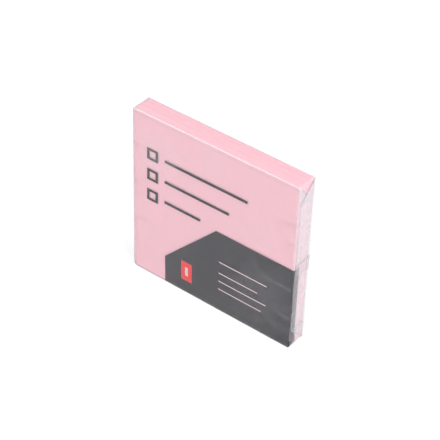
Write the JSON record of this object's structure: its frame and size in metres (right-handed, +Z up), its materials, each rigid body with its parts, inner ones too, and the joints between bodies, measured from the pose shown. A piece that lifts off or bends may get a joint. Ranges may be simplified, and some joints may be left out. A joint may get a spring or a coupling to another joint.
{
  "type": "sticky note pad",
  "caption": "Square pad of pink sticky notes on a backing sheet, sealed in a folded clear film wrapper, standing on its bottom edge.",
  "frame": {"origin": "middle of the bottom of the overall box, where the wrapped pad stands", "axes": "+X to the right along the width, +Y from the front panel to the back, +Z up"},
  "size_m": [0.0756, 0.009, 0.0754],
  "materials": {
    "note_paper": "uncoated pink paper",
    "backing_paper": "smooth pale release paper",
    "clear_film": "clear glossy plastic film with a slight haze and plain printed fields",
    "dark_print": "dark grey ink under glossy film",
    "red_print": "red ink under glossy film",
    "pale_print": "pale pink rules under glossy film"
  },
  "bodies": {
    "root": {"note_block": "note_paper", "backing_sheet": "backing_paper", "wrapper_film": "clear_film"}
  },
  "joints": []
}
